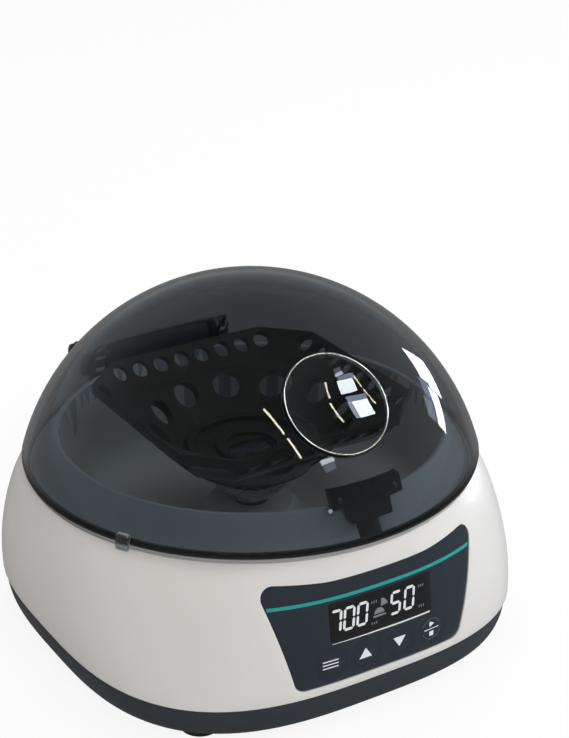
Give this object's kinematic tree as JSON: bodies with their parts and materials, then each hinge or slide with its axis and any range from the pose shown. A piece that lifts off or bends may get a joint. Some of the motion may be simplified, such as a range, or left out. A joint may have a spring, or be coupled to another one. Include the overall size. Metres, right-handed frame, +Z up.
{
  "type": "mini centrifuge",
  "caption": "Benchtop mini centrifuge with a smoked dome lid, a square rotor for tubes and strips, a display panel with round keys, and a mains lead coiled behind it.",
  "frame": {"origin": "on the rotor's axis at the table plane, under the middle of the housing", "axes": "+Z up along the rotor's axis, -Y towards the front panel, +X to the right of someone who faces the panel"},
  "size_m": [0.2318, 0.2961, 0.1327],
  "materials": {
    "white_shell": "satin",
    "slate_plastic": "fine matte",
    "black_plastic": "satin",
    "steel": "brushed",
    "panel_foil": "satin",
    "teal_line": "satin",
    "display_dark": "polished",
    "circuit_green": "matte",
    "white_lamp": "satin",
    "motor_steel": "satin",
    "black_rubber": "matte",
    "copper_wire": "lacquered",
    "contact_brass": "plain",
    "lead_grey": "matte",
    "smoked_clear": "clear polished",
    "clear_tab": "clear polished",
    "magnet": "matte",
    "hub_metal": "turned",
    "rotor_black": "polished",
    "key_grey": "satin"
  },
  "bodies": {
    "housing": {"upper_shell": "white_shell", "base_tray": "slate_plastic", "chamber_bowl": "slate_plastic", "hinge_block": "black_plastic", "hinge_pin": "steel", "hinge_screws": "steel", "control_panel": "panel_foil", "panel_stripe": "teal_line", "display_window": "display_dark", "lcd_module": "display_dark", "display_board": "circuit_green", "key_switches": "black_plastic", "status_light": "white_lamp", "lock_solenoid": "motor_steel", "lid_switch": "black_plastic", "foot_front_left": "black_rubber", "foot_front_right": "black_rubber", "foot_rear_left": "black_rubber", "foot_rear_right": "black_rubber", "body_screws": "steel", "deck_screws": "steel", "motor_can": "motor_steel", "motor_bearings": "steel", "motor_coils": "copper_wire", "motor_plate": "steel", "motor_dampers": "black_rubber", "motor_screws": "steel", "shaft_seal": "black_rubber", "power_board": "circuit_green", "driver_board": "circuit_green", "board_parts": "black_plastic", "board_screws": "steel", "power_inlet": "black_plastic", "inlet_blades": "contact_brass", "switch_frame": "black_plastic", "cord_connector": "lead_grey", "connector_sleeve": "lead_grey", "power_cord": "lead_grey", "cord_coil": "lead_grey", "plug_body": "lead_grey", "plug_sleeve": "lead_grey", "plug_pins": "steel"},
    "lid": {"lid_dome": "smoked_clear", "lid_gasket": "black_rubber", "lid_tab": "clear_tab", "latch_hook": "black_plastic", "latch_screws": "steel"},
    "drive": {"motor_shaft": "steel", "motor_magnet": "magnet", "drive_hub": "hub_metal"},
    "tube_rotor": {"rotor": "rotor_black"},
    "menu_button": {"menu_key": "key_grey"},
    "up_button": {"up_key": "key_grey"},
    "down_button": {"down_key": "key_grey"},
    "start_button": {"start_stop_key": "key_grey"},
    "rocker": {"power_rocker": "black_plastic"},
    "bolt": {"lock_bolt": "steel"}
  },
  "joints": [
    {"name": "lid_hinge", "type": "hinge", "parent": "housing", "child": "lid", "pos_m": [0, 0.083, 0.079], "axis": [-1, 0, 0], "range_deg": [0, 85]},
    {"name": "rotor_spin", "type": "hinge", "parent": "housing", "child": "drive", "pos_m": [0, 0, 0.0655], "axis": [0, 0, 1], "continuous": true},
    {"name": "rotor_lift", "type": "slide", "parent": "drive", "child": "tube_rotor", "axis": [0, 0, 1], "range_m": [0, 0.006]},
    {"name": "menu_press", "type": "slide", "parent": "housing", "child": "menu_button", "axis": [0, 1, 0], "range_m": [0, 0.0004], "stiffness_N_per_m": 400, "springref_m": -0.001},
    {"name": "up_press", "type": "slide", "parent": "housing", "child": "up_button", "axis": [0, 1, 0], "range_m": [0, 0.0004], "stiffness_N_per_m": 400, "springref_m": -0.001},
    {"name": "down_press", "type": "slide", "parent": "housing", "child": "down_button", "axis": [0, 1, 0], "range_m": [0, 0.0004], "stiffness_N_per_m": 400, "springref_m": -0.001},
    {"name": "start_press", "type": "slide", "parent": "housing", "child": "start_button", "axis": [0, 1, 0], "range_m": [0, 0.0004], "stiffness_N_per_m": 400, "springref_m": -0.001},
    {"name": "power_switch", "type": "hinge", "parent": "housing", "child": "rocker", "pos_m": [-0.034, 0.0826, 0.03], "axis": [-1, 0, 0], "range_deg": [0, 20]},
    {"name": "lock_slide", "type": "slide", "parent": "housing", "child": "bolt", "axis": [-1, 0, 0], "range_m": [0, 0.006]}
  ]
}
